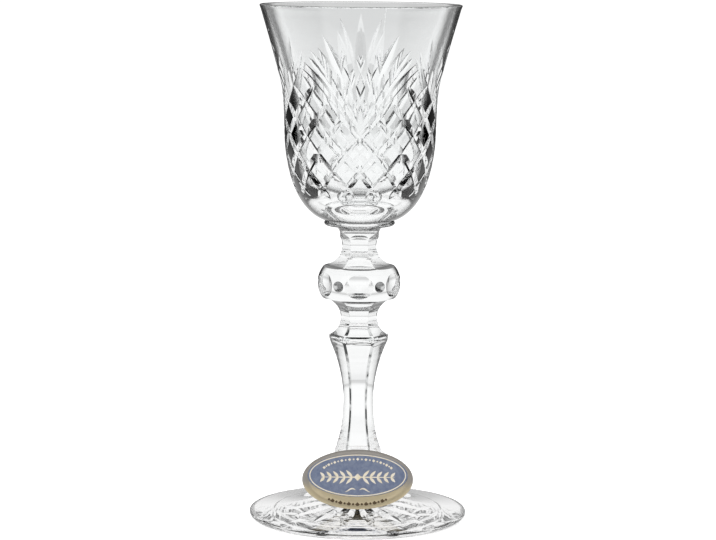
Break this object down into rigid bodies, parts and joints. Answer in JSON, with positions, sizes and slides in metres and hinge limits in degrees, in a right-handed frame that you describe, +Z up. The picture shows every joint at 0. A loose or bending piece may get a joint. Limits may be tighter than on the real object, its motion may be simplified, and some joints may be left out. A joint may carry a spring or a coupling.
{
  "type": "cordial glass",
  "caption": "Stemmed cordial glass in cut clear crystal: bell bowl with leaf fans over a diamond lattice, knopped six-sided stem, round foot with a star beneath, and an oval foil label.",
  "frame": {"origin": "centre of the foot's lower face, on the table", "axes": "+Z up along the glass's axis, -Y to the front where the label is, +X to the viewer's right"},
  "size_m": [0.0566, 0.0566, 0.133],
  "materials": {
    "crystal": "polished lead crystal with ground and acid-polished cuts",
    "gilt_foil": "satin gilt foil, plain border",
    "label_ink": "semi-gloss blue printed panel"
  },
  "bodies": {
    "root": {"bowl": "crystal", "collar": "crystal", "knop": "crystal", "leg": "crystal", "foot": "crystal", "label_foil": "gilt_foil", "label_print": "label_ink"}
  },
  "joints": []
}
